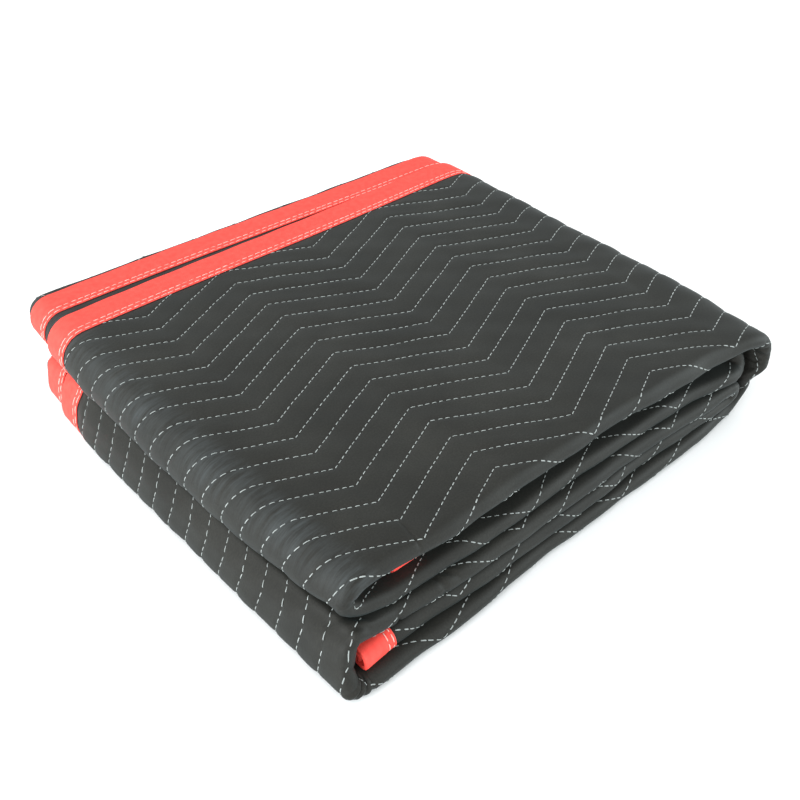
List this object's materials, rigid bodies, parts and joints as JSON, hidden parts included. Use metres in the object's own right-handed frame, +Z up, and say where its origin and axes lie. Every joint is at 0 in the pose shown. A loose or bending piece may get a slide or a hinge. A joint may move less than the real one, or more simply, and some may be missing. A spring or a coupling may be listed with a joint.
{
  "type": "folded moving pad",
  "caption": "Black quilted nonwoven moving pad with coral seam tape on its edges, folded to four layers and wound into a flat bundle of six strips.",
  "frame": {"origin": "under the middle of the bundle, on the surface that it rests on", "axes": "+X along the long side of the bundle towards the creased outer wall, +Y towards the bound edges, +Z up"},
  "size_m": [0.314, 0.3026, 0.0609],
  "materials": {
    "felt": "matte nonwoven",
    "tape": "matte seam tape"
  },
  "bodies": {
    "root": {"pad": "felt", "binding_long_1": "tape", "binding_long_2": "tape", "binding_end_1": "tape", "binding_end_2": "tape"}
  },
  "joints": []
}
